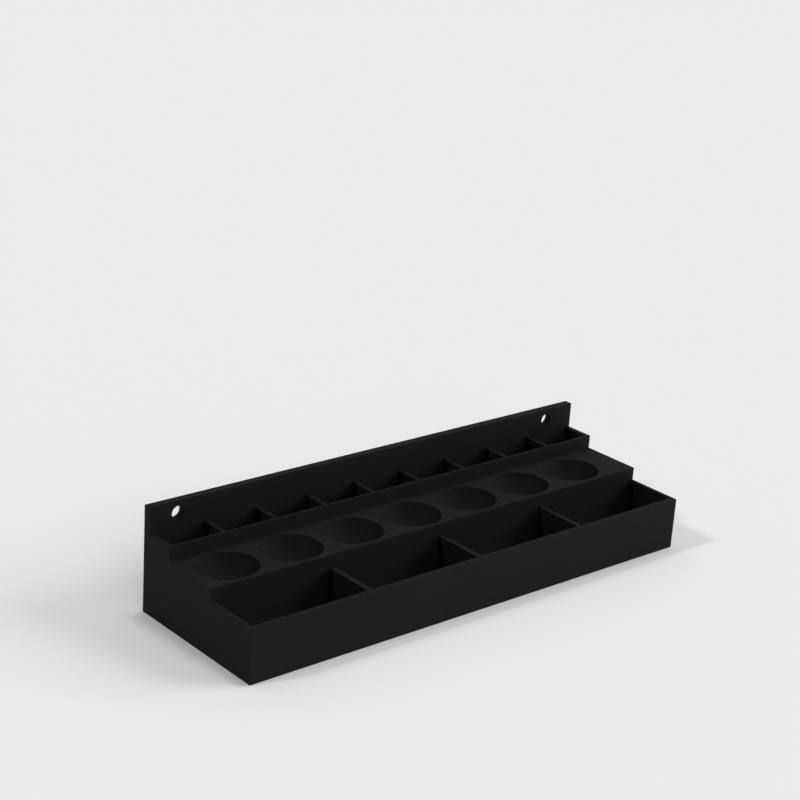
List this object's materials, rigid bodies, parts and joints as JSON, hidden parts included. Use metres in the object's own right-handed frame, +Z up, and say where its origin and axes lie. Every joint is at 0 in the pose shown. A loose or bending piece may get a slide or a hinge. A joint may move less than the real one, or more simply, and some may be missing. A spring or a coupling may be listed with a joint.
{
  "type": "desk and wall organizer tray",
  "caption": "Stepped tray with open rounded-bottom bins in front, a deck of round-bottomed dishes, and narrow tool slots below a back board with screw holes.",
  "frame": {"origin": "middle of the footprint, on the face that the tray stands on", "axes": "+X along the tray to the right as seen from the front, +Y from the front to the back, +Z up"},
  "size_m": [0.25, 0.0788, 0.05],
  "materials": {
    "printed_plastic": "matt black printed plastic with fine layer lines"
  },
  "bodies": {
    "root": {"front_wall": "printed_plastic", "left_end_wall": "printed_plastic", "right_end_wall": "printed_plastic", "back_board": "printed_plastic", "bin_back_wall": "printed_plastic", "slot_front_wall": "printed_plastic", "rear_floor": "printed_plastic", "deck_end_plate": "printed_plastic", "bin_floor_1": "printed_plastic", "bin_floor_2": "printed_plastic", "bin_floor_3": "printed_plastic", "bin_floor_4": "printed_plastic", "front_divider_1": "printed_plastic", "front_divider_2": "printed_plastic", "front_divider_3": "printed_plastic", "dish_section_1": "printed_plastic", "dish_section_2": "printed_plastic", "dish_section_3": "printed_plastic", "dish_section_4": "printed_plastic", "dish_section_5": "printed_plastic", "dish_section_6": "printed_plastic", "dish_section_7": "printed_plastic", "rear_divider_1": "printed_plastic", "rear_divider_2": "printed_plastic", "rear_divider_3": "printed_plastic", "rear_divider_4": "printed_plastic", "rear_divider_5": "printed_plastic", "rear_divider_6": "printed_plastic", "rear_divider_7": "printed_plastic", "rear_divider_8": "printed_plastic"}
  },
  "joints": []
}
